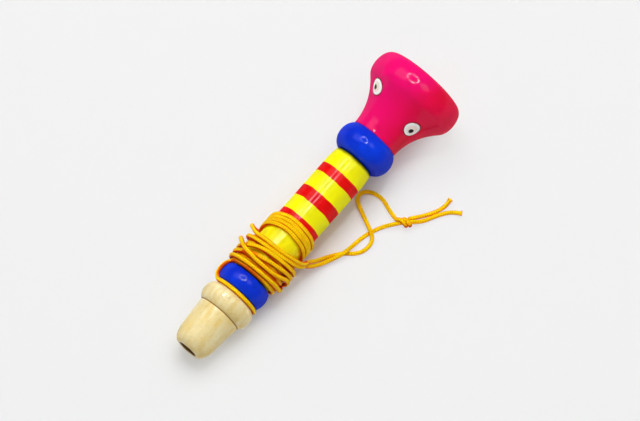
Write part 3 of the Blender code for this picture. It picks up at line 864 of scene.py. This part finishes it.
def turned(name, profile, material, solid):
    bm = bmesh.new()
    verts = [bm.verts.new((radius * ROUND, 0.0, station)) for radius, station in profile]
    edges = [bm.edges.new((verts[i - 1], verts[i])) for i in range(len(verts))]
    spin(bm, verts + edges, SEGMENTS)
    bmesh.ops.recalc_face_normals(bm, faces=bm.faces)
    corners = [edge for edge in bm.edges if edge.calc_face_angle() > EDGE_ANGLE]
    bmesh.ops.bevel(
        bm, geom=corners, offset=EDGE_ROUND, segments=EDGE_STEPS, profile=0.5, affect="EDGES", material=-1
    )
    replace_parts(add_piece(name, bm, material), solid)


print(f"turned pieces are drawn in by {(1 - ROUND) * 100:.2f} percent")

# %% [markdown]
# Lacquered wood
#
# The mouthpiece is pale close-grained wood under clear lacquer. The blank was sawn along the grain, so the
# growth layers are nearly flat sheets along the axis, and on the round surface they show as long soft bands.
# Short darker flecks lie along the grain, and the tool left faint rings round the axis. The narrow groove
# before the collar is coloured a darker golden brown, and inside the blow hole the wood has painted shade,
# brown deepening to near black. A picture of wood would show a seam, so the grain is worked out in space,
# and runs through the piece as it did through the blank.

# %% Wood finish
COLLAR_START = 22.3 * MM
BLOW_HOLE_R = 4.6 * MM
WOOD_TONES = (srgb(234, 204, 122), srgb(252, 237, 184))
FLECK_BROWN = srgb(196, 158, 92)
GROOVE_BROWN = srgb(172, 112, 26)
BORE_SHADE_TONES = (srgb(112, 70, 30), srgb(38, 20, 10))


def wood_finish():
    finish = Finish(
        "lacquered_wood", roughness=0.5, specular_ior_level=0.1, coat_ior=1.8, coat_roughness=0.14
    )
    place = finish.along_axis()
    station = finish.part_of(place, "Z")
    warp = finish.noise(place, 14 * MM, 60 * MM)
    layers = finish.part_of(place, "Y") / (3.4 * MM) + warp * 3.0
    bands = (layers * (2 * math.pi)).sine() * 0.5 + 0.5
    fibre = finish.noise(place, 0.35 * MM, 7 * MM, detail=3.0)
    mottle = finish.noise(place, 4 * MM, 9 * MM, detail=3.0)
    flecks = 1 - finish.cells(place, 0.9 * MM, 3.2 * MM).rising(0.1, 0.26)
    tone = bands * 0.08 + fibre * 0.16 + mottle * 0.76
    wood = finish.blend(tone.rising(0.25, 0.8), *WOOD_TONES)
    wood = finish.blend(flecks * 0.28, wood, FLECK_BROWN)
    groove = station.within(COLLAR_START - 0.4 * MM, COLLAR_START + 0.1 * MM, 0.15 * MM)
    wood = finish.blend(groove * 0.85, wood, GROOVE_BROWN)
    inside = 1 - finish.from_axis(place).rising(BLOW_HOLE_R - 0.1 * MM, BLOW_HOLE_R + 0.5 * MM)
    # Painted shade: inside the blow hole the wood darkens from brown to near black with depth
    bore_shade = finish.blend(station.rising(0.2 * MM, 5 * MM), *BORE_SHADE_TONES)
    finish.set("Coat Weight", mottle.rising(0.35, 0.65) * 0.6 + 0.12 - groove * 0.1 - inside * 0.1)
    tool_rings = (station / (0.8 * MM) * (2 * math.pi) + warp * 6.0).sine() * 0.5 + 0.5
    pits = finish.noise(place, 1.2 * MM, 2.2 * MM, detail=1.0)
    height = fibre * 0.04 + tool_rings * 0.03 + pits * 0.8 - flecks * 0.1
    return finish.surface(finish.blend(inside, wood, bore_shade), 0.4 + fibre * 0.2, height, 0.4 * MM)


wood_material = wood_finish()

# %% [markdown]
# The mouthpiece
#
# The lips hold a rounded tip. Behind it are a fine groove, the rounded collar, the neck groove for the cord
# and a spigot that goes into the barrel. The blow hole has a soft edge, and narrows to the seat of the reed.
# The holes could be cut out afterwards. It is simpler to let the profile run along the outside and back
# through the bore, because one spin then makes a closed wall.

# %% Mouthpiece
GAP = 0.3 * MM
COLLAR_FORM = (13.4 * MM, 27.4 * MM, 6.4 * MM, 6.0 * MM)
FACE_R = 5.6 * MM
TIP_R = 9.9 * MM
TIP_ROUND = 8.5 * MM
TIP_BASE_R = 10.9 * MM
QUIRK_DEPTH = 0.4 * MM
QUIRK_WIDTH = 0.5 * MM
SPIGOT_R = 5.7 * MM
SPIGOT_END = 50.0 * MM
BLOW_HOLE_EDGE = 0.6 * MM
CHAMBER_END = 30.0 * MM
REED_SEAT_R = 3.5 * MM
TIP_STEPS = 16
COLLAR_STEPS = 24
BLOW_HOLE_STEPS = 6


def mouthpiece_profile():
    neck_end = LOWER_RING_START - GAP
    profile = quarter((FACE_R, TIP_ROUND), (TIP_R - FACE_R, TIP_ROUND), -90, TIP_STEPS)
    profile += [(TIP_BASE_R, COLLAR_START - QUIRK_WIDTH), (TIP_BASE_R - QUIRK_DEPTH, COLLAR_START)]
    profile += crown(*COLLAR_FORM, COLLAR_START, COLLAR_END, COLLAR_STEPS)
    profile += [(GROOVE_R, COLLAR_END), (GROOVE_R, neck_end), (SPIGOT_R, neck_end), (SPIGOT_R, SPIGOT_END)]
    profile += [(REED_SEAT_R, SPIGOT_END), (REED_SEAT_R, CHAMBER_END), (BLOW_HOLE_R, CHAMBER_END)]
    edge_centre = (BLOW_HOLE_R + BLOW_HOLE_EDGE, BLOW_HOLE_EDGE)
    profile += quarter(edge_centre, (BLOW_HOLE_EDGE, BLOW_HOLE_EDGE), 180, BLOW_HOLE_STEPS)
    return profile


turned("turned_mouthpiece", mouthpiece_profile(), wood_material, "mouthpiece")

# %% [markdown]
# Gloss paint
#
# The rings, the barrel and the bell are dipped or brushed with gloss paint and spun dry. Such paint is never
# quite even: its tone drifts, the grain of the wood lifts it in faint lines, the surface has the soft pebble
# of drying paint, and a few specks of dust are caught in it. All that is small, so it lives in one function
# that every painted piece shares, with its own two tones of colour.

# %% Paint finish
BLUE_TONES = (srgb(0, 36, 198), srgb(0, 60, 226))


def paint(name, tones, extra=None):
    """Gloss paint between two tones. A function may lay more paint over it and add to its relief."""
    finish = Finish(name, roughness=0.5, specular_ior_level=0.0, coat_ior=2.2, coat_roughness=0.03)
    place = finish.along_axis()
    drift = finish.noise(place, 16 * MM, detail=1.0)
    grain = finish.noise(place, 0.6 * MM, 12 * MM, detail=3.0)
    pebble = finish.noise(place, 1.6 * MM, detail=1.0)
    dust = 1 - finish.cells(place, 6 * MM).rising(0.02, 0.06)
    colour = finish.blend((drift * 0.8 + grain * 0.25).rising(0.25, 0.8), *tones)
    height = pebble * 0.35 + grain * 0.35 + dust * 0.3
    if extra:
        colour, height = extra(finish, place, colour, height)
    finish.set("Coat Weight", 0.14 - drift * 0.05 - dust * 0.05)
    return finish.surface(colour, 0.42 + grain * 0.14 + dust * 0.1, height, 0.016 * MM)


blue_material = paint("blue_gloss", BLUE_TONES)

# %% [markdown]
# The blue rings
#
# A ring is a bead with a rounded outside and a straight bore, and sits on a tenon of the barrel. A torus
# could stand in for it, but is too round, inside and out. So the outside is part of an ellipse between two
# stations, and the rings, which differ only in size, share one profile.

# %% Blue rings
TENON_R = 7.7 * MM
RING_BORE_R = TENON_R + GAP
BARREL_END = 117.0 * MM
UPPER_RING_END = 131.0 * MM
UPPER_RING_FORM = (14.6 * MM, 124.6 * MM, 7.4 * MM, 5.8 * MM)
RING_STEPS = 36


def ring_profile(form, start, end):
    return [(RING_BORE_R, start)] + crown(*form, start, end, RING_STEPS) + [(RING_BORE_R, end)]


lower_profile = ring_profile(LOWER_RING_FORM, LOWER_RING_START, LOWER_RING_END)
upper_profile = ring_profile(UPPER_RING_FORM, BARREL_END + GAP, UPPER_RING_END)
turned("turned_lower_ring", lower_profile, blue_material, "lower_ring")
turned("turned_upper_ring", upper_profile, blue_material, "upper_ring")

# %% [markdown]
# The striped barrel
#
# The red stripes are laid on the yellow barrel with a brush while it turns. Their edges waver a little, and
# they stand a hair proud. So a stripe is a band of stations whose two ends are shifted by a noise that runs
# round the barrel. Three stripes show. A fourth is glimpsed between the cord's turns. Near-black shade is
# painted into the joints at both ends of the barrel.

# %% Striped paint
# Where each stripe starts and ends along the axis, in millimetres
STRIPES = [(55.6, 61.4), (73.4, 79.4), (87.3, 93.5), (102.2, 107.2)]
STRIPE_WAVER = 0.5 * MM
STRIPE_SOFT = 0.08 * MM
JOINT_SHADE = 1.1 * MM
YELLOW_TONES = (srgb(244, 236, 0), srgb(254, 248, 0))
RED_TONES = (srgb(222, 0, 4), srgb(240, 4, 4))
PAINTED_JOINT_SHADE = srgb(44, 38, 0)
BARREL_START = LOWER_RING_END + GAP


def stripes(finish, place, colour, height):
    waver = finish.noise(place, 7 * MM, 40 * MM)
    station = finish.part_of(place, "Z") + (waver - 0.5) * (2 * STRIPE_WAVER)
    bands = [station.within(low * MM, high * MM, STRIPE_SOFT) for low, high in STRIPES]
    red = bands[0]
    for band in bands[1:]:
        red = red.largest(band)
    brush = finish.noise(place, 5 * MM, 0.5 * MM)
    red_paint = finish.blend(brush.rising(0.3, 0.7), *RED_TONES)
    colour = finish.blend(red, colour, red_paint)
    # Painted shade: near black within JOINT_SHADE of each joint with a ring
    open_part = station.within(BARREL_START + JOINT_SHADE, BARREL_END - JOINT_SHADE, JOINT_SHADE)
    colour = finish.blend(open_part, PAINTED_JOINT_SHADE, colour)
    return colour, height + red * 0.8 + red * brush * 0.3


yellow_material = paint("yellow_gloss", YELLOW_TONES, stripes)

# %% Barrel
BARREL_END_R = 9.4 * MM
BARREL_TAPER = 8.0 * MM
SPIGOT_BORE_R = SPIGOT_R + GAP
AIR_BORE_R = 5.0 * MM
TENON_END = 138.0 * MM
TAPER_STEPS = 14


def barrel_profile():
    waist = BARREL_R - BARREL_END_R
    step = SPIGOT_END + GAP
    profile = [(SPIGOT_BORE_R, LOWER_RING_START), (TENON_R, LOWER_RING_START), (TENON_R, BARREL_START)]
    profile += quarter((BARREL_END_R, BARREL_START + BARREL_TAPER), (waist, BARREL_TAPER), -90, TAPER_STEPS)
    profile += quarter((BARREL_END_R, BARREL_END - BARREL_TAPER), (waist, BARREL_TAPER), 0, TAPER_STEPS)
    profile += [(TENON_R, BARREL_END), (TENON_R, TENON_END), (AIR_BORE_R, TENON_END)]
    return profile + [(AIR_BORE_R, step), (SPIGOT_BORE_R, step)]


turned("turned_barrel", barrel_profile(), yellow_material, "barrel")

# %% [markdown]
# The bell
#
# The bell flares from the upper ring to a thick rounded lip, and is hollowed to a funnel. The flare and the
# funnel are one cubic curve each, and the lip is part of an ellipse. Its magenta is painted pinker towards
# the top and the +Y side, as painted light where the lamps fall, and the paint fades out in the throat,
# where the wood stays bare.

# %% Bell profile
BELL_START = UPPER_RING_END
BELL_NECK_R = 11.9 * MM
BELL_R = 23.55 * MM
LIP_WIDEST = 159.6 * MM
LIP_CROWN = 4.0 * MM
LIP_JOIN = 153.2 * MM
MOUTH_R = 16.8 * MM
MOUTH_EDGE = 1.2 * MM
THROAT_R = 5.6 * MM
THROAT_END = 139.5 * MM
NECK_PULL = Vector((0.3, 8.0)) * MM
LIP_PULL = Vector((-7.0, -7.5)) * MM
MOUTH_PULL = Vector((-1.2, -9.8)) * MM
THROAT_PULL = Vector((1.6, 11.5)) * MM
FLARE_STEPS = 36
LIP_STEPS = 28
MOUTH_STEPS = 8


def bell_outside():
    lip = crown(BELL_R, LIP_WIDEST, LENGTH - LIP_WIDEST, LIP_CROWN, LIP_JOIN, LENGTH, LIP_STEPS)
    flare = long_curve((BELL_NECK_R, BELL_START), NECK_PULL, LIP_PULL, lip[0], FLARE_STEPS)
    return flare + lip[1:]


def bell_profile():
    edge_centre = (MOUTH_R + MOUTH_EDGE, LENGTH - MOUTH_EDGE)
    mouth_edge = quarter(edge_centre, (MOUTH_EDGE, MOUTH_EDGE), 90, MOUTH_STEPS)
    throat = (THROAT_R, THROAT_END)
    hollow = long_curve((MOUTH_R, LENGTH - MOUTH_EDGE), MOUTH_PULL, THROAT_PULL, throat, FLARE_STEPS)
    socket_end = TENON_END + GAP
    socket = [(THROAT_R, socket_end), (RING_BORE_R, socket_end), (RING_BORE_R, BELL_START)]
    return bell_outside() + mouth_edge + hollow[1:] + socket


print(f"the bell opens from {2 * BELL_NECK_R / MM:.1f} to {2 * BELL_R / MM:.1f} mm")

# %% Bell
MAGENTA_TONES = (srgb(228, 0, 50), srgb(240, 0, 70))
LIT_SIDE_PINK = srgb(242, 0, 122)
BARE_WOOD = srgb(224, 200, 140)


def bell_tint(finish, place, colour, height):
    # Painted light: the top and the +Y side, where the lamps fall, turn pinker
    side = finish.part_of(place, "Y") / (2 * BELL_R) - finish.part_of(place, "X") / (4 * BELL_R)
    painted_lit_side = (side + finish.noise(place, 22 * MM) * 0.5).rising(0.05, 0.6)
    bare = 1 - finish.from_axis(place).rising(THROAT_R + 0.6 * MM, THROAT_R + 3 * MM)
    colour = finish.blend(bare, colour, BARE_WOOD)
    return finish.blend(painted_lit_side * 0.7 * (1 - bare), colour, LIT_SIDE_PINK), height


magenta_material = paint("magenta_gloss", MAGENTA_TONES, bell_tint)
turned("turned_bell", bell_profile(), magenta_material, "bell")

# %% [markdown]
# Painted eyes
#
# Each eye is a thick dot of white paint with a cream disc inside and a small dark pupil off its middle. Wet
# paint draws into a low dome with a rounded edge. A thin dark red ring round it is painted shade, where the
# dome meets the flare. A UV map holds the flat place on the disc, and the finish reads the circles from it.

# %% Eye finish
EYE_R = 4.45 * MM
WHITE_DISC = 0.84
INNER_DISC = 0.55
PUPIL = 0.29
EYE_WHITES = (srgb(250, 246, 242), srgb(255, 255, 252))
EYE_CREAMS = (srgb(246, 226, 214), srgb(252, 238, 228))
SKIRT_SHADE_RED = srgb(140, 0, 30)


def eye_finish(name, pupil_place, pupil_colour):
    finish = Finish(name, roughness=0.4, specular_ior_level=0.1, coat_weight=0.25, coat_roughness=0.08)
    uv = finish.node("ShaderNodeUVMap", {"uv_map": "disc"})
    waver = finish.noise(uv, 0.7)
    from_middle = finish.length(uv)
    from_pupil = finish.length(finish.vector("SUBTRACT", uv, (*pupil_place, 0.0)))
    disc = 1 - (from_middle + waver * 0.1).rising(INNER_DISC - 0.02, INNER_DISC + 0.1)
    pupil = 1 - (from_pupil + waver * 0.06).rising(PUPIL - 0.02, PUPIL + 0.06)
    white = finish.blend(waver, *EYE_WHITES)
    inner = finish.blend(waver, *EYE_CREAMS)
    colour = finish.blend(pupil, finish.blend(disc, white, inner), pupil_colour)
    # Painted shade: a thin dark red ring round the dome's edge
    skirt = from_middle.rising(WHITE_DISC - 0.02, WHITE_DISC + 0.02)
    height = waver * 0.3 + disc * 0.3 + pupil * 0.4
    return finish.surface(finish.blend(skirt, colour, SKIRT_SHADE_RED), 0.28 + waver * 0.1, height, 0.06 * MM)


print("eyes are", 2 * EYE_R / MM, "mm across")

# %% [markdown]
# The eyes on the flare
#
# The eyes could be cut out of the bell's own mesh, but their edges would be ragged. So a disc of rings is
# made flat, raised to the dome, and laid on the flare: one direction follows the profile and the other runs
# round the axis, which keeps the eye round.

# %% Places on the flare
SLOPE_REACH = 0.2 * MM
outside = np.array(bell_outside())
outside_length = distances(outside)


def on_flare(station, from_top, ahead, across, height):
    """A point over the flare: ahead along the profile from a station, and across round the axis."""
    along = np.interp(station, outside[:, 1], outside_length) + ahead
    here = read_off(along, outside_length, outside)
    beyond = read_off(along + SLOPE_REACH, outside_length, outside)
    slope = (beyond - here) / np.linalg.norm(beyond - here)
    radius = here[0] * ROUND + height * slope[1]
    angle = math.pi - math.radians(from_top) + across / here[0]
    return Vector((radius * math.cos(angle), radius * math.sin(angle), here[1] - height * slope[0]))


print(f"the flare is {outside_length[-1] / MM:.1f} mm long along its profile")

# %% Eyes on the flare
EYE_SEGMENTS = 64
EYE_RINGS = 14
EYE_HEIGHT = 0.9 * MM
EYE_SKIRT = 0.03 * MM

# Each eye's name, station, degrees from the top, pupil's place on the disc and pupil's colour
EYES = [
    ("left_eye", 148.7 * MM, 45.0, (-0.05, -0.11), srgb(92, 0, 6)),
    ("right_eye", 144.2 * MM, -54.0, (-0.16, 0.04), srgb(24, 2, 4)),
]


def dome(reach):
    """Height of the white paint, from 1 in the middle to 0 at its edge and beyond."""
    return math.sqrt(max(0.0, 1 - reach**4)) * (0.8 + 0.2 * (1 - reach**2))


def painted_eye(name, station, from_top, *pupil):
    bm = bmesh.new()
    bmesh.ops.create_circle(bm, cap_ends=True, segments=EYE_SEGMENTS, radius=1.0)
    for _ in range(EYE_RINGS):
        inner = max(bm.faces, key=lambda face: face.calc_area() if len(face.verts) == EYE_SEGMENTS else 0.0)
        bmesh.ops.inset_region(bm, faces=[inner], thickness=1 / (EYE_RINGS + 1), use_even_offset=False)
    bmesh.ops.poke(bm, faces=[face for face in bm.faces if len(face.verts) == EYE_SEGMENTS])
    disc_map = bm.loops.layers.uv.new("disc")
    for face in bm.faces:
        for corner in face.loops:
            corner[disc_map].uv = corner.vert.co.xy
    for vert in bm.verts:
        skirt = -EYE_SKIRT if vert.is_boundary else EYE_SKIRT
        height = EYE_HEIGHT * dome(vert.co.xy.length / WHITE_DISC) + skirt
        vert.co = on_flare(station, from_top, vert.co.x * EYE_R, vert.co.y * EYE_R, height)
    bmesh.ops.recalc_face_normals(bm, faces=bm.faces)
    add_piece(name, bm, eye_finish(name + "_paint", *pupil))


for eye in EYES:
    painted_eye(*eye)

# %% [markdown]
# The reed in the mouthpiece
#
# The reed unit can only be glimpsed through the blow hole and through the bell. Its solids have their real
# form already, so they stay and only get finishes: a rolled brass strip with fine lines along it, and moulded
# ivory plastic with a soft grain.

# %% Reed finishes
BRASS_TONES = ((0.80, 0.58, 0.20), (0.58, 0.36, 0.10))
IVORY_TONES = ((0.74, 0.71, 0.60), (0.82, 0.80, 0.72))


def brass_finish():
    finish = Finish("reed_brass", roughness=0.3, metallic=1.0)
    place = finish.along_axis()
    lines = finish.noise(place, 0.12 * MM, 6 * MM)
    tarnish = finish.noise(place, 3 * MM, detail=3.0)
    colour = finish.blend(tarnish.rising(0.4, 0.75), *BRASS_TONES)
    return finish.surface(colour, 0.22 + lines * 0.2 + tarnish * 0.1, lines, 0.01 * MM)


def plastic_finish():
    finish = Finish("reed_plastic", roughness=0.4)
    place = finish.along_axis()
    cloud = finish.noise(place, 5 * MM)
    grain = finish.noise(place, 0.2 * MM)
    return finish.surface(finish.blend(cloud, *IVORY_TONES), 0.35 + grain * 0.15, grain, 0.01 * MM)


brass_material = brass_finish()
plastic_material = plastic_finish()
REED_FINISHES = {
    "reed_tongue": brass_material,
    "tone_board": plastic_material,
    "reed_wedge": plastic_material,
    "reed_sleeve": plastic_material,
}
for node, material in REED_FINISHES.items():
    frame["nodes"][node].data.materials.clear()
    frame["nodes"][node].data.materials.append(material)
    print(node, "is finished in", material.name)

# %% [markdown]
# Floor and background
#
# The toy lies on a plain pale surface, which is lit like the toy and keeps its shadow. To the camera and in
# reflections the floor also glows a little, which makes it the white background. It glows more away from the
# toy, so that the shadow is deep beside the toy and fades fast.

# %% Floor
FLOOR_SIZE = 6.0
FLOOR_CLOUDS = 0.3
FLOOR_TONES = ((0.83,) * 3, (0.85,) * 3)
BACKGROUND_TONE = (0.89,) * 3
BACKGROUND_SHARE = 0.76
SHADOW_REACH = (130 * MM, 27 * MM, 1.0)
SHADOW_CORE = 0.3


def floor_finish():
    finish = Finish("pale_floor", roughness=0.9)
    place = finish.node("ShaderNodeTexCoord", out="Object")
    cloud = finish.noise(place, FLOOR_CLOUDS)
    finish.set("Base Color", finish.blend(cloud, *FLOOR_TONES))
    seen = finish.ray("Camera").largest(finish.ray("Glossy")).largest(finish.ray("Transmission"))
    white = finish.node("ShaderNodeEmission", {}, {"Color": BACKGROUND_TONE, "Strength": 1.0})
    lit = Shade(finish, finish.shader.outputs[0])
    clear = finish.length(finish.stretched(place, SHADOW_REACH)).rising(SHADOW_CORE, 1.0)
    finish.end_in("Material Output", finish.mix(seen * clear * BACKGROUND_SHARE, lit, white))
    return finish.material


floor_bm = bmesh.new()
bmesh.ops.create_grid(floor_bm, x_segments=1, y_segments=1, size=FLOOR_SIZE / 2)
floor = placed("floor", mesh_of("floor", floor_bm))
floor.data.materials.append(floor_finish())
print("floor:", FLOOR_SIZE, "m square")

# %% [markdown]
# Light
#
# A ring lamp hangs overhead, and its round reflection shows on every glossy bead. A panel on each side of it
# makes fainter patches there, and the one on the +Y side is the stronger. An even sky fills the shadows.

# %% Sky and panels
SKY_STRENGTH = 0.36
WHITE = (1.0, 1.0, 1.0)

# Each panel's name, place in metres, size in metres and power in watts
PANELS = [
    ("left_panel", (0.1, 0.75, 0.95), 0.7, 2.2),
    ("right_panel", (0.35, -0.35, 1.0), 0.4, 1.0),
]


def aim(obj, place, target):
    obj.location = place
    obj.rotation_euler = (Vector(target) - Vector(place)).to_track_quat("-Z", "Y").to_euler()


world = bpy.data.worlds.new("studio")
bpy.context.scene.world = world
world.use_nodes = True
sky = Nodes(world.node_tree)
sky.end_in("World Output", sky.node("ShaderNodeBackground", {}, {"Color": WHITE, "Strength": SKY_STRENGTH}))

for name, place, size, power in PANELS:
    panel = placed(name, bpy.data.lights.new(name, "AREA"))
    panel.data.shape = "SQUARE"
    panel.data.size = size
    panel.data.energy = power
    panel.visible_camera = False
    aim(panel, place, VIEW_TARGET)
    print(f"{name}: {power} W, {size} m square")

# %% Ring lamp
LAMP_DIRECTION = Vector((0.25, 0.21, 0.95)).normalized()
LAMP_DISTANCE = 1.0
LAMP_R = 0.24
LAMP_TUBE_R = 0.018
LAMP_TUBE_SIDES = 16
LAMP_SEGMENTS = 64
LAMP_STRENGTH = 36.0

lamp_bm = bmesh.new()
upright = Matrix.Rotation(math.pi / 2, 4, "X")
bmesh.ops.create_circle(lamp_bm, segments=LAMP_TUBE_SIDES, radius=LAMP_TUBE_R, matrix=upright)
bmesh.ops.translate(lamp_bm, verts=lamp_bm.verts, vec=(LAMP_R, 0.0, 0.0))
spin(lamp_bm, lamp_bm.verts[:] + lamp_bm.edges[:], LAMP_SEGMENTS)
lamp = placed("ring_lamp", mesh_of("ring_lamp", lamp_bm))
glow = Finish(
    "lamp_glow", base_color=(0, 0, 0, 1), emission_color=(*WHITE, 1), emission_strength=LAMP_STRENGTH
)
lamp.data.materials.append(glow.material)
aim(lamp, VIEW_TARGET + LAMP_DIRECTION * LAMP_DISTANCE, VIEW_TARGET)
lamp.visible_camera = False
bpy.context.scene.view_settings.view_transform = "Standard"
print(f"ring lamp: {2 * LAMP_R} m across, {LAMP_DISTANCE} m away")
